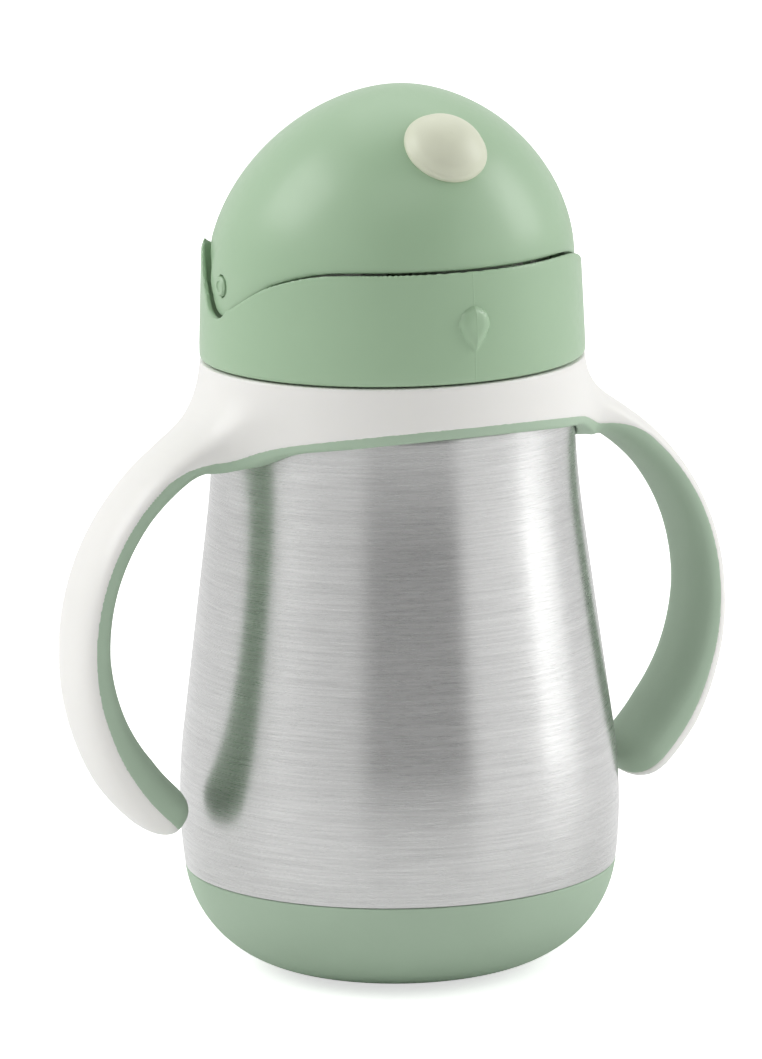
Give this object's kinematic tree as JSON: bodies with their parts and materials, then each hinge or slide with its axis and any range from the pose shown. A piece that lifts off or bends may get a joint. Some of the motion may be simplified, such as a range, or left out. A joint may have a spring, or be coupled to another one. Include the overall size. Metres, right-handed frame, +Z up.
{
  "type": "sippy cup",
  "caption": "Insulated straw cup for toddlers: steel vessel, soft base, side handles, screw lid with a hinged dome cover and fold-down straw.",
  "frame": {"origin": "centre of the underside, on the surface the cup stands on", "axes": "+Z up, -Y to the front (straw and thumb knob), handles along X"},
  "size_m": [0.1362, 0.084, 0.1693],
  "materials": {
    "brushed_steel": "fine circumferential brushing",
    "inner_steel": "electropolished",
    "green_soft": "matte silicone",
    "green_plastic": "satin moulded",
    "white_plastic": "satin moulded",
    "cream_plastic": "satin moulded",
    "clear_silicone": "translucent silicone"
  },
  "bodies": {
    "vessel": {"vessel_shell": "brushed_steel", "vessel_liner": "inner_steel", "vessel_base_disc": "inner_steel", "base_boot": "green_soft", "handle_frame": "white_plastic", "grip_band": "green_soft", "handle_grip_left": "green_soft", "handle_grip_right": "green_soft"},
    "lid_seal": {"lid_gasket": "clear_silicone"},
    "lid": {"lid_collar": "green_plastic", "lid_deck": "white_plastic", "hinge_pin_left": "green_plastic", "hinge_pin_right": "green_plastic", "rear_shield": "green_plastic", "vent_valve": "clear_silicone", "straw_socket": "clear_silicone", "straw_tube": "clear_silicone"},
    "dome": {"dome_cover": "green_plastic", "thumb_knob": "cream_plastic", "knob_clip": "white_plastic", "straw_presser": "green_plastic"},
    "straw": {"straw_mouthpiece": "clear_silicone"}
  },
  "joints": [
    {"name": "lid_lift", "type": "slide", "parent": "vessel", "child": "lid_seal", "axis": [0, 0, 1], "range_m": [0, 0.0052]},
    {"name": "lid_twist", "type": "hinge", "parent": "lid_seal", "child": "lid", "pos_m": [0, 0, 0.123], "axis": [0, 0, 1], "range_deg": [0, 450]},
    {"name": "cover_swing", "type": "hinge", "parent": "lid", "child": "dome", "pos_m": [0, 0.001, 0.133], "axis": [-1, 0, 0], "range_deg": [0, 66]},
    {"name": "straw_fold", "type": "hinge", "parent": "lid", "child": "straw", "pos_m": [0, -0.004, 0.1364], "axis": [-1, 0, 0], "range_deg": [0, 38.5]}
  ],
  "couplings": [
    {"joint": "lid_lift", "follows": "lid_twist", "m_per_rad": 0.00063662},
    {"joint": "straw_fold", "follows": "cover_swing", "ratio": 0.57576}
  ]
}
